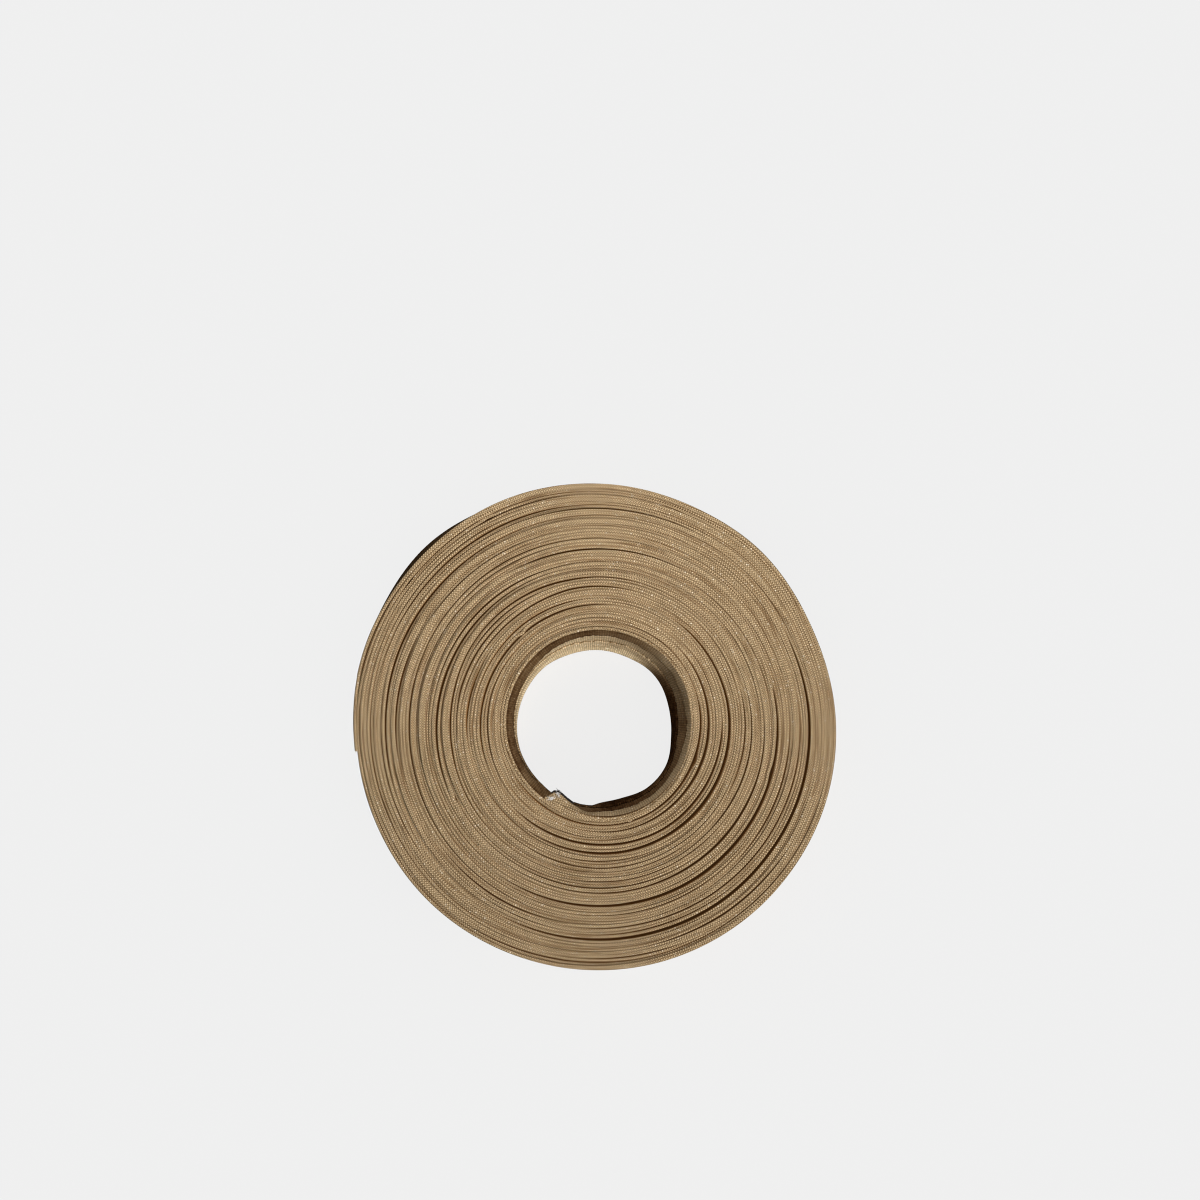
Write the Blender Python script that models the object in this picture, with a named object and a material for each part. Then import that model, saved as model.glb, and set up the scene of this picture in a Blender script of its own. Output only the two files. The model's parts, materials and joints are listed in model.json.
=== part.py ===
# A roll of bias binding, lying flat on one face: one long folded tape wound on itself with no core.
# Each solid is a loft around the roll's axis. "roll" is the wound form: an uneven outline with the step
# of the tape's outer end, a bore that leans and narrows towards the back, and the main grooves where
# the winding is slack. "inner_end" is the tape's cut inner end, sprung loose from the bore's wall.
# Metres, +Z up and the front face on top, angles in degrees counter-clockwise from +X.

import bpy
import bmesh
from collections import namedtuple
from math import cos, sin, sqrt, exp, radians

MM = 0.001

TAPE_WIDTH = 12.0 * MM          # width of the folded tape, and so the height of the roll
TAPE_THICKNESS = 0.57 * MM      # one turn of folded tape with its share of air
OUTER_RADIUS = 41.73 * MM
FOLD_ROUND = 0.3 * MM           # softness of the wound form's corners
CLEARANCE = 0.3 * MM            # between the loose end and the wall of the bore

COLUMN_STEP = 3.0               # degrees between the wound form's sections
STEP_WIDTH = 0.4                # degrees over which the outline or the wall steps

# Where the tape begins and ends.
OUTER_END_ANGLE = 186.0
ROOT_ANGLE = 284.0              # the loose inner end leaves the winding here
TIP_ANGLE = 234.0               # and its cut reaches this far along the wall

# The bore is round at the front rim and at the back rim, about two different centres.
Rim = namedtuple("Rim", "east north radius")
FRONT_RIM = Rim(0.86 * MM, 0.52 * MM, 16.17 * MM)
BACK_RIM = Rim(0.14 * MM, -0.34 * MM, 13.47 * MM)

# How far the outline stands proud of a true circle.
OutlinePoint = namedtuple("OutlinePoint", "angle proud")
OUTLINE = [
    OutlinePoint(0, -0.10 * MM),
    OutlinePoint(24, -0.60 * MM),
    OutlinePoint(48, -0.10 * MM),
    OutlinePoint(63, -0.22 * MM),
    OutlinePoint(87, 0.0 * MM),
    OutlinePoint(112, 0.25 * MM),
    OutlinePoint(150, 0.18 * MM),
    OutlinePoint(174, -0.18 * MM),
    OutlinePoint(184, 0.0 * MM),
    OutlinePoint(205, -0.08 * MM),
    OutlinePoint(226, 0.20 * MM),
    OutlinePoint(272, 0.22 * MM),
    OutlinePoint(318, 0.36 * MM),
    OutlinePoint(340, 0.22 * MM),
]

# The outer turns flare out at the back, on one side only.
FLARE = 0.72 * MM
FLARE_ANGLE = 135.0
FLARE_SPREAD = 8.0

# The main grooves in the front face. Each is a ring whose centre lies east and north of the axis,
# deepest at one angle and easing off over a spread to both sides of it. drop is how far the turns
# just outside the groove sit below the highest ones.
Groove = namedtuple("Groove", "radius east north deepest_at depth spread drop")
GROOVES = [
    Groove(39.55 * MM, 0.05 * MM, 0.05 * MM, 310, 0.40 * MM, 50, 0.10 * MM),
    Groove(36.50 * MM, 0.75 * MM, -0.35 * MM, 320, 1.00 * MM, 100, 0.0),
    Groove(32.45 * MM, 0.60 * MM, 0.10 * MM, 110, 0.70 * MM, 70, 0.20 * MM),
    Groove(30.75 * MM, 1.10 * MM, 0.00 * MM, 300, 1.00 * MM, 70, 0.05 * MM),
    Groove(28.35 * MM, 1.10 * MM, -0.30 * MM, 250, 0.80 * MM, 110, 0.25 * MM),
    Groove(25.45 * MM, 0.80 * MM, 0.20 * MM, 140, 0.70 * MM, 60, 0.10 * MM),
    Groove(22.30 * MM, 0.85 * MM, 0.25 * MM, 320, 1.00 * MM, 90, 0.25 * MM),
    Groove(20.60 * MM, 1.15 * MM, 0.20 * MM, 200, 0.90 * MM, 110, 0.10 * MM),
    Groove(18.10 * MM, 0.55 * MM, 0.45 * MM, 290, 0.60 * MM, 60, 0.30 * MM),
]
GROOVE_HALF_WIDTH = 0.38 * MM
GROOVE_REST = 0.25              # share of its depth that a groove keeps away from its deepest place
INNERMOST_DROP = 0.15 * MM

# The loose inner end: its cut runs aslant, so the front edge reaches further than the back edge.
FOLD_INNER_TIP_ANGLE = 242.5
BACK_TIP_ANGLE = 264.0
LOOSE_THICKNESS = 1.0 * MM      # at the root, and along the back edge
OPEN_FOLD_WIDTH = 2.9 * MM      # the front fold has sprung open at the cut
LOOSE_SECTIONS = 14
LOOSE_FOOT = 0.2 * MM           # its back edge stays this far above the ground
SEAT_DEPTH = 1.0 * MM           # the wall stands back this far behind the loose end

CLOTH_COLOUR = (0.305, 0.209, 0.112, 1.0)
LOOSE_COLOUR = (0.340, 0.240, 0.135, 1.0)


def eased(share):
    share = min(max(share, 0.0), 1.0)
    return share * share * (3.0 - 2.0 * share)


def mix(start, end, share):
    return start + (end - start) * share


def angle_between(first, second):
    return abs((first - second + 180.0) % 360.0 - 180.0)


def hump(angle, middle, spread):
    return exp(-(angle_between(angle, middle) / spread) ** 2)


def outline_proud(angle):
    # A smooth closed curve through the outline's table.
    angle = angle % 360.0
    for start, end in zip(OUTLINE, OUTLINE[1:] + [OUTLINE[0]._replace(angle=360)]):
        if start.angle <= angle <= end.angle:
            share = (angle - start.angle) / (end.angle - start.angle)
            return mix(start.proud, end.proud, eased(share))


def outer_end_step(angle):
    # The outline drops by one thickness past the outer end, and the winding makes it up again.
    past_end = (angle - OUTER_END_ANGLE - STEP_WIDTH) % 360.0
    return -TAPE_THICKNESS * (1.0 - eased(past_end / 40.0))


def outline_radius(angle, height):
    flare = FLARE * hump(angle, FLARE_ANGLE, FLARE_SPREAD) * (1.0 - height / TAPE_WIDTH)
    return OUTER_RADIUS + outline_proud(angle) + outer_end_step(angle) + flare


def rim_reach(rim, angle):
    # Distance from the roll's axis to a round rim that lies off the axis.
    along = rim.east * cos(radians(angle)) + rim.north * sin(radians(angle))
    return along + sqrt(rim.radius ** 2 - rim.east ** 2 - rim.north ** 2 + along ** 2)


def wall_radius(angle, height):
    return mix(rim_reach(BACK_RIM, angle), rim_reach(FRONT_RIM, angle), height / TAPE_WIDTH)


def seat_depth(angle):
    # The wall stands back behind the loose end: sharply at its root, gently past its cut.
    into_seat = (ROOT_ANGLE - angle) / STEP_WIDTH
    out_of_seat = (angle - (TIP_ANGLE - 5.0)) / 4.0
    return SEAT_DEPTH * min(eased(into_seat), eased(out_of_seat))


def groove_radius(groove, angle):
    return groove.radius + groove.east * cos(radians(angle)) + groove.north * sin(radians(angle))


def groove_depth(groove, angle):
    return groove.depth * mix(GROOVE_REST, 1.0, hump(angle, groove.deepest_at, groove.spread))


def column_angles():
    # Even columns, and a close pair at each place where the form steps.
    steps = [OUTER_END_ANGLE, ROOT_ANGLE]
    even = [COLUMN_STEP * column for column in range(round(360.0 / COLUMN_STEP))]
    angles = [angle for angle in even if all(angle_between(angle, step) > 1.5 for step in steps)]
    for step in steps:
        angles += [step, step + STEP_WIDTH if step == OUTER_END_ANGLE else step - STEP_WIDTH]
    return sorted(angles)


def roll_section(angle):
    # One closed section through the wound form, as (radius, height), from the outer foot over the
    # front face and down the bore.
    outer_back = outline_radius(angle, 0.0)
    outer_front = outline_radius(angle, TAPE_WIDTH)
    seat = seat_depth(angle)
    inner_front = wall_radius(angle, TAPE_WIDTH) + seat
    inner_back = wall_radius(angle, 0.0) + seat
    section = [
        (outer_back - FOLD_ROUND, 0.0),
        (outer_back, FOLD_ROUND),
        (outer_front, TAPE_WIDTH - GROOVES[0].drop - FOLD_ROUND),
        (outer_front - FOLD_ROUND, TAPE_WIDTH - GROOVES[0].drop),
    ]
    inside_drops = [groove.drop for groove in GROOVES[1:]] + [INNERMOST_DROP]
    for groove, inside_drop in zip(GROOVES, inside_drops):
        middle = groove_radius(groove, angle)
        floor = TAPE_WIDTH - max(groove.drop, inside_drop) - groove_depth(groove, angle)
        section += [
            (middle + GROOVE_HALF_WIDTH, TAPE_WIDTH - groove.drop),
            (middle, floor),
            (middle - GROOVE_HALF_WIDTH, TAPE_WIDTH - inside_drop),
        ]
    section += [
        (inner_front + FOLD_ROUND, TAPE_WIDTH - INNERMOST_DROP),
        (inner_front, TAPE_WIDTH - INNERMOST_DROP - FOLD_ROUND),
        (mix(inner_back, inner_front, 0.5), TAPE_WIDTH * 0.5),
        (inner_back, FOLD_ROUND),
        (inner_back + FOLD_ROUND, 0.0),
    ]
    return section


def polar_point(radius, angle, height):
    return (radius * cos(radians(angle)), radius * sin(radians(angle)), height)


def loose_section(share):
    # One slanted section of the loose end, from its root (share 0) to its cut (share 1). Each corner
    # travels to its own angle, so that the cut runs aslant.
    top = TAPE_WIDTH - 0.1 * MM
    back_angle = mix(ROOT_ANGLE - 1.5, BACK_TIP_ANGLE, share)
    outer_angle = mix(ROOT_ANGLE - 1.5, TIP_ANGLE, share)
    inner_angle = mix(ROOT_ANGLE - 1.5, FOLD_INNER_TIP_ANGLE, share)
    middle_angle = mix(back_angle, inner_angle, 0.5)
    stand_back = SEAT_DEPTH - CLEARANCE
    opened = mix(LOOSE_THICKNESS, OPEN_FOLD_WIDTH, eased(share * share))
    outer_front = wall_radius(outer_angle, TAPE_WIDTH) + stand_back
    outer_middle = wall_radius(middle_angle, TAPE_WIDTH * 0.5) + stand_back
    outer_back = wall_radius(back_angle, 0.0) + stand_back
    inner_front = wall_radius(inner_angle, TAPE_WIDTH) + stand_back - opened
    inner_middle = mix(outer_middle - LOOSE_THICKNESS, inner_front, share * 0.6)
    crest = mix(outer_front, inner_front, 0.5)
    crest_angle = mix(outer_angle, inner_angle, 0.5)
    return [
        polar_point(outer_back, back_angle, LOOSE_FOOT),
        polar_point(outer_middle, middle_angle, TAPE_WIDTH * 0.5),
        polar_point(outer_front, outer_angle, top - FOLD_ROUND),
        polar_point(outer_front - FOLD_ROUND, outer_angle, top),
        polar_point(crest, crest_angle, top + 0.1 * MM),
        polar_point(inner_front + FOLD_ROUND, inner_angle, top - 0.1 * MM),
        polar_point(inner_front, inner_angle, top - 2.0 * FOLD_ROUND),
        polar_point(inner_middle, middle_angle, TAPE_WIDTH * 0.5),
        polar_point(outer_back - LOOSE_THICKNESS, back_angle, LOOSE_FOOT),
    ]


def lofted_mesh(name, sections, closed):
    # Skins a run of like sections, joined end to end in a ring or capped at both ends.
    mesh = bmesh.new()
    rings = [[mesh.verts.new(point) for point in section] for section in sections]
    pairs = list(zip(rings, rings[1:]))
    if closed:
        pairs.append((rings[-1], rings[0]))
    for ring, next_ring in pairs:
        for index in range(len(ring)):
            after = (index + 1) % len(ring)
            mesh.faces.new((ring[index], ring[after], next_ring[after], next_ring[index]))
    if not closed:
        mesh.faces.new(rings[0])
        mesh.faces.new(rings[-1])
    bmesh.ops.triangulate(mesh, faces=mesh.faces[:])
    bmesh.ops.recalc_face_normals(mesh, faces=mesh.faces[:])
    data = bpy.data.meshes.new(name)
    mesh.to_mesh(data)
    mesh.free()
    data.shade_smooth()
    data.set_sharp_from_angle(angle=radians(40.0))
    return data


def cloth_material(name, colour):
    material = bpy.data.materials.new(name)
    material.use_nodes = True
    shader = material.node_tree.nodes["Principled BSDF"]
    shader.inputs["Base Color"].default_value = colour
    shader.inputs["Roughness"].default_value = 0.9
    shader.inputs["Metallic"].default_value = 0.0
    material.diffuse_color = colour
    return material


def add_piece(collection, name, mesh, colour):
    mesh.materials.append(cloth_material(name + "_cloth", colour))
    piece = bpy.data.objects.new(name, mesh)
    collection.objects.link(piece)
    return piece


def centre_on_origin(pieces):
    # The roll's outline is uneven, so the middle of its box is not quite the axis of the winding.
    points = [vertex.co for piece in pieces for vertex in piece.data.vertices]
    middle_x = (min(point.x for point in points) + max(point.x for point in points)) / 2.0
    middle_y = (min(point.y for point in points) + max(point.y for point in points)) / 2.0
    for point in points:
        point.x -= middle_x
        point.y -= middle_y


def build_roll():
    sections = []
    for angle in column_angles():
        sections.append([polar_point(radius, angle, height) for radius, height in roll_section(angle)])
    return lofted_mesh("roll", sections, closed=True)


def build_inner_end():
    sections = [loose_section(index / (LOOSE_SECTIONS - 1)) for index in range(LOOSE_SECTIONS)]
    return lofted_mesh("inner_end", sections, closed=False)


def main():
    for item in list(bpy.data.objects):
        bpy.data.objects.remove(item, do_unlink=True)
    collection = bpy.data.collections.new("bias_binding_roll")
    bpy.context.scene.collection.children.link(collection)
    pieces = [
        add_piece(collection, "roll", build_roll(), CLOTH_COLOUR),
        add_piece(collection, "inner_end", build_inner_end(), LOOSE_COLOUR),
    ]
    centre_on_origin(pieces)


main()
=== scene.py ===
import json
from math import pi, radians, sin, sqrt

import bpy
import numpy as np
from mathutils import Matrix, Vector

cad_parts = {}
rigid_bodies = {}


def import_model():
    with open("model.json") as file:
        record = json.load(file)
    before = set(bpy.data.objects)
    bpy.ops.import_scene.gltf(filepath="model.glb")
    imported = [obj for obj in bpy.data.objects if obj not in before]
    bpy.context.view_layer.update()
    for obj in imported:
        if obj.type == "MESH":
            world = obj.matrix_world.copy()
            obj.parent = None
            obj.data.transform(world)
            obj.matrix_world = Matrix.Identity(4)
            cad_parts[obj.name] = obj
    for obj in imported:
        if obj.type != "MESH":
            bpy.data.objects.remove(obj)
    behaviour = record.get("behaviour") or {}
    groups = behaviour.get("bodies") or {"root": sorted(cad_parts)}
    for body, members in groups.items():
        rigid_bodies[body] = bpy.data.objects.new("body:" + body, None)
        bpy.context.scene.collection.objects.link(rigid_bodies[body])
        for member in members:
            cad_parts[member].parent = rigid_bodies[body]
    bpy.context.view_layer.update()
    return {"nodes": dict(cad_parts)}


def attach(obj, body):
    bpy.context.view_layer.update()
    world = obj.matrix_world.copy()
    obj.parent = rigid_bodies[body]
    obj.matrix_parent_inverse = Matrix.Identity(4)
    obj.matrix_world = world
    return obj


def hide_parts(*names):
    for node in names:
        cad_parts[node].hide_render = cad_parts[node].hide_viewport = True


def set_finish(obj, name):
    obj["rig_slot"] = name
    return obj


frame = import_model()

print("frame loaded: " + ", ".join(sorted(frame["nodes"])))

# Lengths here are millimetres, and angles degrees counter-clockwise from +X, seen from the front.
# A place along the tape is counted in turns from the root of its loose inner end.

winding = {
    "tapeWidth": 12.0,
    "turns": 44.728,
    "looseTurns": 0.2,          # room for the loose end, before the root
    "rootAngle": 284.0,
    "firstRadius": 16.45,       # middle of the tape half a turn from the root
    "lastRadius": 41.45,        # and at its outer end
    "thickest": 0.57,           # what a folded turn fills out to where there is room
    "thinnest": 0.26,
    "airBetween": 0.014,
    "centreX": 0.0189,          # the axis of the winding, from the middle of the part's box
    "centreY": 0.1050,
    "stationsPerTurn": 360,
    "unevenness": 0.030,        # how far single turns stray from an even spacing
    "weaveStart": 60.0,         # where the weave's map begins
}

# The turns' centre drifts as their radius grows.
drift = {
    "radius": [16.2, 20.7, 28.2, 36.5, 41.7],
    "east": [0.86, 1.08, 0.97, 0.66, 0.0],
    "north": [0.52, 0.34, -0.36, -0.21, 0.0],
}

# How far the outermost and the innermost turns stray from an even spiral, by angle.
outlineStray = {
    "angle": [0, 24, 48, 63, 87, 112, 136, 160, 174, 205, 226, 272, 318, 340],
    "out": [.16, -.34, .10, -.18, -.02, .12, -.10, -.02, -.12, -.04, .33, .60, .68, .58],
    "fade": 3,                  # the power with which it dies out inwards
}
rimStray = {
    "angle": [0, 30, 60, 110, 150, 180, 225, 260, 285, 310, 330],
    "out": [.04, .18, .07, .09, .00, -.12, -.16, .17, .66, .72, .50],
    "overTurns": 5.0,           # it dies out outwards over so many turns
}

# How far the bore's wall leans in, below the front rim: at the flap's edge, low down, and at the back.
wallLean = {
    "angle": [0, 20, 45, 60, 90, 110, 130, 150, 180, 210, 232, 262, 275, 290, 310, 330, 350],
    "upper": [-.35, -1.05, -1.15, -1.12, -.95, -1.05, -1.35, -1.40, -1.27, -1.30, -1.48, -.85, -.90,
              -.75, -.65, -.75, -.45],
    "lower": [-2.60, -2.95, -2.90, -2.75, -2.50, -2.20, -2.02, -1.78, -1.66, -1.60, -1.55, -1.35, -1.70,
              -2.05, -2.00, -2.05, -2.55],
    "back": [-3.62, -4.25, -4.38, -4.58, -4.10, -3.72, -2.97, -2.60, -1.97, -1.52, -1.55, -.72, -2.20,
             -2.75, -2.34, -2.43, -3.31],
    "heights": [0.0, 3.4, 8.4, 12.0],   # of the back, low down, the flap's edge and the front rim
    "fullWithin": 16.2,         # the lean is full within this radius,
    "reach": 10.0,              # and dies out over this much winding outside it
}

# The outer turns lean outwards, towards the back.
flares = [
    {"angle": 133.0, "spread": 15.0, "out": 0.88},
    {"angle": 152.0, "spread": 42.0, "out": 0.42},
]
flareShape = {"overTurns": 3.0, "curve": 1.5}
flareShade = {"paintedShading": 0.65, "spread": 18.0, "below": 10.0}     # painted shade on the outside of the first one, low down

# Painted light and shade on the bore's cloth, by angle: on its front flap, the bare cloth below that and
# the back flap, and whether only the back flap's lower half has it. Above nought it is painted shade, below
# nought painted light, paler than the rest.
boreShading = {
    "angle": [0, 20, 40, 60, 80, 100, 120, 140, 160, 180, 200, 220, 240, 258, 280, 300, 320, 340],
    "flap": [-.15, -.11, -.13, .37, .57, .90, .74, .52, .74, .66, .82, .66, .56, .00, -.08, -.08, -.06,
             -.10],
    "bare": [.44, -.02, .00, -.08, -.20, -.26, -.30, -.20, -.15, -.10, .20, .36, .39, .40, 1.10, .74, .68,
             .38],
    "back": [1.50, 1.08, .16, -.44, -.41, -.40, -.46, -.48, -.53, -.55, -.30, .39, .57, .80, 1.55, 1.40,
             .84, 1.45],
    "half": [0, 0, .5, 1, 1, 1, 1, 1, 1, 1, 1, .5, 0, 0, 0, 0, 0, 0],
    "crease": [0, 0, 0, 0, 0, 0, 0, 0, 0, 0, 0, 0, 0, 0, .8, .5, .2, 0],    # a painted shadow line between fold and flap
    "edgeFrom": 0.4,            # a flap with more painted shade than this
    "flapEdge": 0.3,            # gets so much more painted shadow along its fold
}

# Slack places between two turns: the gap's radius at one angle (before other gaps push it aside), the
# angles it runs between, and its width.
slack = [
    (40.8, 270, 235, 330, 0.25),
    (40.4, 290, 260, 305, 0.30),
    (39.9, 110, 95, 130, 0.10),
    (39.5, 315, 275, 345, 0.35),
    (37.3, 315, 240, 395, 0.60),
    (36.6, 180, 145, 215, 0.15),
    (36.5, 290, 250, 325, 0.30),
    (35.9, 160, 80, 220, 0.25),
    (35.6, 315, 245, 370, 0.35),
    (35.4, 250, 240, 265, 0.10),
    (32.8, 290, 235, 365, 0.20),
    (31.9, 135, 80, 210, 0.10),
    (31.5, 315, 230, 385, 0.55),
    (29.6, 315, 225, 405, 0.45),
    (29.5, 160, 140, 180, 0.20),
    (27.9, 160, 80, 195, 0.40),
    (27.3, 160, 90, 215, 0.45),
    (27.0, 290, 255, 300, 0.20),
    (27.0, 340, 305, 385, 0.30),
    (26.1, 360, 320, 380, 0.30),
    (25.0, 160, 90, 200, 0.40),
    (24.8, 290, 240, 370, 0.25),
    (24.6, 135, 100, 165, 0.50),
    (23.7, 160, 100, 190, 0.45),
    (23.3, 135, 60, 180, 0.40),
    (22.8, 315, 235, 425, 0.60),
    (22.2, 160, 125, 190, 0.35),
    (21.7, 315, 225, 385, 0.60),
    (21.2, 135, 75, 195, 0.35),
    (19.8, 160, 65, 220, 0.35),
    (19.7, 340, 255, 410, 0.50),
    (18.6, 180, 110, 215, 0.25),
    (18.6, 315, 245, 390, 0.45),
]
slackShape = {"overTurns": 2.6, "roundness": 0.9}   # the neighbours take up a gap over so many turns

# Many small gaps besides, mostly up and to the left of the bore, and down and to the right of it.
smallGaps = {"count": 110, "seed": 1, "angles": [128.0, 310.0], "scatter": 34.0, "reach": [14.0, 60.0],
             "radius": [17.0, 38.6], "width": [0.04, 0.13]}
draw = np.random.default_rng(smallGaps["seed"])
for number in range(smallGaps["count"]):
    at = smallGaps["angles"][number % 2] + draw.normal(0.0, smallGaps["scatter"])
    reach = draw.uniform(*smallGaps["reach"])
    slack.append((draw.uniform(*smallGaps["radius"]), at, at - reach, at + reach,
                  draw.uniform(*smallGaps["width"])))

# Single turns that pucker: radius, angle, pushed out or in, lifted, and over how many degrees.
puckers = [
    (39.9, 117, 0.16, 0.15, 1.6),
    (39.9, 142, -0.08, 0.08, 1.4),
    (26.3, 150, 0.20, 0.20, 2.0),
    (20.5, 127.5, -0.34, 0.10, 1.7),
    (31.6, 345, -0.18, 0.12, 2.4),
    (17.2, 294, -0.06, 0.10, 1.3),
    (17.5, 291, 0.16, 0.05, 1.3),
    (18.8, 341, 0.18, 0.30, 3.4),
    (31.1, 14, 0.14, 0.10, 1.8),
    (35.1, 60, 0.15, 0.12, 1.4),
    (32.5, 250, 0.15, 0.12, 1.8),
    (27.5, 208, 0.16, -0.15, 0.9),
]

# Smooth waves that make the turns uneven: how quickly they change from turn to turn and round the roll.
waves = {
    "spacing": {"seed": 11, "count": 40, "slowest": 0.2, "fastest": 0.8, "mostRound": 4},
    "bands": {"seed": 21, "count": 30, "slowest": 0.04, "fastest": 0.20, "mostRound": 2},
    "turns": {"seed": 22, "count": 40, "slowest": 0.3, "fastest": 0.7, "mostRound": 5},
    "groups": {"seed": 25, "count": 40, "slowest": 0.22, "fastest": 0.38, "mostRound": 2},
    "plump": {"seed": 24, "count": 40, "slowest": 0.24, "fastest": 0.5, "mostRound": 2},
    "back": {"seed": 23, "count": 30, "slowest": 0.1, "fastest": 0.6, "mostRound": 3},
    "flap": {"seed": 31, "count": 20, "slowest": 1.0, "fastest": 9.0, "mostRound": 6},
}

# Groups of turns sit lower or higher, and where two to four of them rise they merge into one smooth
# dome. Some folds are plump: they stand up and spread over their neighbours where they aren't slack,
# and others are pinched between them.
edges = {
    "bandDrop": 0.10,
    "turnDrop": 0.06,
    "backRise": 0.10,
    "groupRise": 0.15,
    "groupGain": 0.8,           # strength of the waves before they are cut off at 1
    "mergeGain": 1.6,           # how soon a rising group merges
    "plumpRise": 0.12,
    "plumpGain": 0.75,
    "plumpSpread": 0.55,
    "slackFrom": 0.60,          # turns this far apart begin to be slack
    "slackOver": 0.12,
}


def eased(share):
    share = np.clip(share, 0.0, 1.0)
    return share * share * (3.0 - 2.0 * share)


def angleAt(turn):
    return winding["rootAngle"] + 360.0 * turn


def degreesFrom(angle, middle):
    return np.mod(angle - middle + 180.0, 360.0) - 180.0


def around(table, column, angle):
    # a smooth closed curve through a table of angles
    knots = np.array(table["angle"], float)
    values = np.array(table[column], float)
    knots = np.concatenate([knots[-3:] - 360.0, knots, knots[:3] + 360.0])
    values = np.concatenate([values[-3:], values, values[:3]])
    slopes = np.gradient(values, knots)
    angle = np.mod(angle, 360.0)
    index = np.searchsorted(knots, angle, side="right") - 1
    span = knots[index + 1] - knots[index]
    t = (angle - knots[index]) / span
    return ((1 + 2 * t) * (1 - t) ** 2 * values[index] + t * (1 - t) ** 2 * span * slopes[index]
            + t * t * (3 - 2 * t) * values[index + 1] + t * t * (t - 1) * span * slopes[index + 1])


def ripples(turn, wave):
    # smooth uneven waves across the turns and round the roll, about 1 high
    draw = np.random.default_rng(wave["seed"])
    total = np.zeros_like(turn)
    for _ in range(wave["count"]):
        acrossTheTurns = draw.uniform(wave["slowest"], wave["fastest"])
        roundTheRoll = draw.integers(0, wave["mostRound"] + 1)
        phase = draw.uniform(0.0, 2 * pi)
        total += np.cos(2 * pi * (acrossTheTurns * turn + roundTheRoll * turn) + phase)
    return total / sqrt(wave["count"] / 2.0)


def evenRadius(turn):
    # the spiral before there is any slack in it
    share = (turn - 0.5) / (winding["turns"] - 0.5)
    middle = winding["firstRadius"] + (winding["lastRadius"] - winding["firstRadius"]) * share
    angle = angleAt(turn)
    east = np.interp(middle, drift["radius"], drift["east"])
    north = np.interp(middle, drift["radius"], drift["north"])
    stray = around(outlineStray, "out", angle) * np.clip(share, 0.0, 1.0) ** outlineStray["fade"]
    stray = stray + around(rimStray, "out", angle) * np.exp(-np.maximum(turn, 0.0) / rimStray["overTurns"])
    return middle + east * np.cos(np.radians(angle)) + north * np.sin(np.radians(angle)) + stray


def turnNear(radius, angle, offset):
    # the place at this angle whose radius comes nearest: on a turn, or halfway between two of them
    everyTurn = np.arange(-2, int(winding["turns"]) + 4)
    candidates = (angle - winding["rootAngle"]) / 360.0 + everyTurn + offset
    middle = (evenRadius(candidates - offset) + evenRadius(candidates + offset)) / 2.0
    return candidates[np.argmin(np.abs(middle - radius))]


perTurn = winding["stationsPerTurn"]
firstStation = round(-winding["looseTurns"] * perTurn)
lastStation = round(winding["turns"] * perTurn) + 1     # just past the tape's outer end
gridTurn = np.arange(firstStation, lastStation + 1) / perTurn
gridAngle = angleAt(gridTurn)
gridRadius = evenRadius(gridTurn)
gridLift = np.zeros_like(gridTurn)

for radius, at, start, end, width in slack:
    along = np.mod(gridAngle - start, 360.0) / (end - start)
    opening = np.sin(pi * np.clip(along, 0.0, 1.0)) ** slackShape["roundness"]
    opening = width * np.where(along < 1.0, opening, 0.0)
    lineTurn = turnNear(radius, at, 0.5) + (start + along * (end - start) - at) / 360.0
    away = gridTurn - lineTurn
    gridRadius += np.sign(away) * 0.5 * opening * np.exp(-(np.abs(away) - 0.5) / slackShape["overTurns"])

# The gaps have pushed the outline out, so the outer turns are drawn in again.
pushedOut = (gridRadius - evenRadius(gridTurn))[-perTurn:]
pushedOut = np.resize(pushedOut[::-1], len(gridTurn))[::-1]
gridRadius -= pushedOut * np.clip(gridTurn / winding["turns"], 0.0, 1.0) ** 2
gridRadius += winding["unevenness"] * ripples(gridTurn, waves["spacing"])

for radius, at, push, lift, spread in puckers:
    degreesAway = 360.0 * (gridTurn - turnNear(radius, at, 0.0))
    bump = np.exp(-(degreesAway / spread) ** 2)
    gridRadius += push * bump
    gridLift += lift * bump

# Each turn fills the room that it has, up to its full thickness.
roomOutside = np.full_like(gridRadius, winding["thickest"] / 2.0)
roomInside = roomOutside.copy()
halfPitch = (gridRadius[perTurn:] - gridRadius[:-perTurn] - winding["airBetween"]) / 2.0
roomOutside[:-perTurn] = np.minimum(roomOutside[:-perTurn], halfPitch)
roomInside[perTurn:] = np.minimum(roomInside[perTurn:], halfPitch)
roomOutside = np.maximum(roomOutside, winding["thinnest"] / 2.0)
roomInside = np.maximum(roomInside, winding["thinnest"] / 2.0)
openOutside, openInside = np.zeros_like(gridRadius), np.zeros_like(gridRadius)
openOutside[:-perTurn] = np.clip((2.0 * halfPitch - edges["slackFrom"]) / edges["slackOver"], 0.0, 1.0)
openInside[perTurn:] = openOutside[:-perTurn]

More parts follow.
